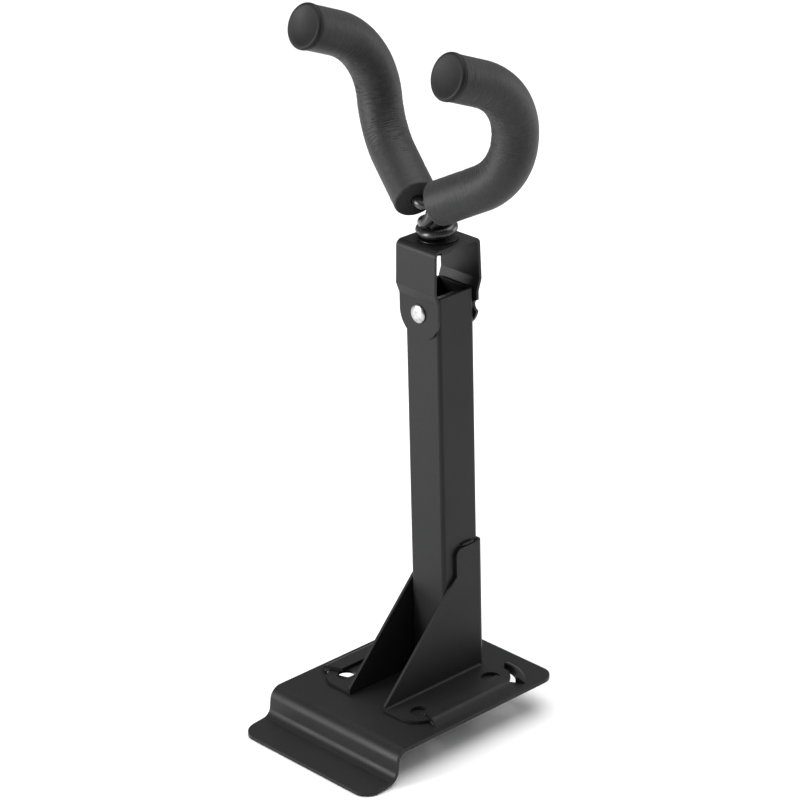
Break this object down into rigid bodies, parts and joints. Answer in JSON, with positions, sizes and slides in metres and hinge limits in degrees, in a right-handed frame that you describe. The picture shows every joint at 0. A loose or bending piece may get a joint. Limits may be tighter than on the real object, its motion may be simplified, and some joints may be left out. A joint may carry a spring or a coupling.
{
  "type": "slat wall cradle hanger",
  "caption": "Slat-wall hanger: hooked plate, square arm on a sliding folded bracket, folding head and a swivelling yoke with foam-padded arms.",
  "frame": {"origin": "on the plate's wall face, under the arm's axis", "axes": "+Z out of the wall along the arm, -Y towards the hooked lip, which points up when the hanger is on a wall, +X to the right arm of the yoke"},
  "size_m": [0.1352, 0.1375, 0.3797],
  "materials": {
    "black_powder_coat": "satin powder coat",
    "black_rod_coat": "satin powder coat, slightly smoother",
    "painted_weld": "satin powder coat over a rippled bead",
    "bright_zinc": "bright zinc",
    "black_zinc": "dark zinc",
    "foam_black": "matte closed-cell foam",
    "vinyl_black": "matte moulded cap"
  },
  "bodies": {
    "plate": {"wall_plate": "black_powder_coat"},
    "arm": {"arm_bracket": "black_powder_coat", "arm_tube": "black_powder_coat", "hinge_spacer": "bright_zinc", "weld_bead_right": "painted_weld", "weld_bead_left": "painted_weld", "weld_bead_rear": "painted_weld"},
    "head": {"head_cap": "black_powder_coat", "hinge_rivet": "bright_zinc", "swivel_bolt": "black_zinc", "nut_washer": "black_zinc", "coil_washer": "black_zinc", "swivel_nut": "black_zinc"},
    "yoke": {"yoke_rod": "black_rod_coat", "pad_right": "foam_black", "pad_left": "foam_black", "tip_cap_right": "vinyl_black", "tip_cap_left": "vinyl_black"}
  },
  "joints": [
    {"name": "bracket_slide", "type": "slide", "parent": "plate", "child": "arm", "axis": [0, -1, 0], "range_m": [0, 0.04]},
    {"name": "head_hinge", "type": "hinge", "parent": "arm", "child": "head", "pos_m": [0, 0, 0.2085], "axis": [0, 1, 0], "range_deg": [-90, 90]},
    {"name": "yoke_swivel", "type": "hinge", "parent": "head", "child": "yoke", "pos_m": [0, 0, 0.2491], "axis": [0, 0, 1], "continuous": true}
  ]
}
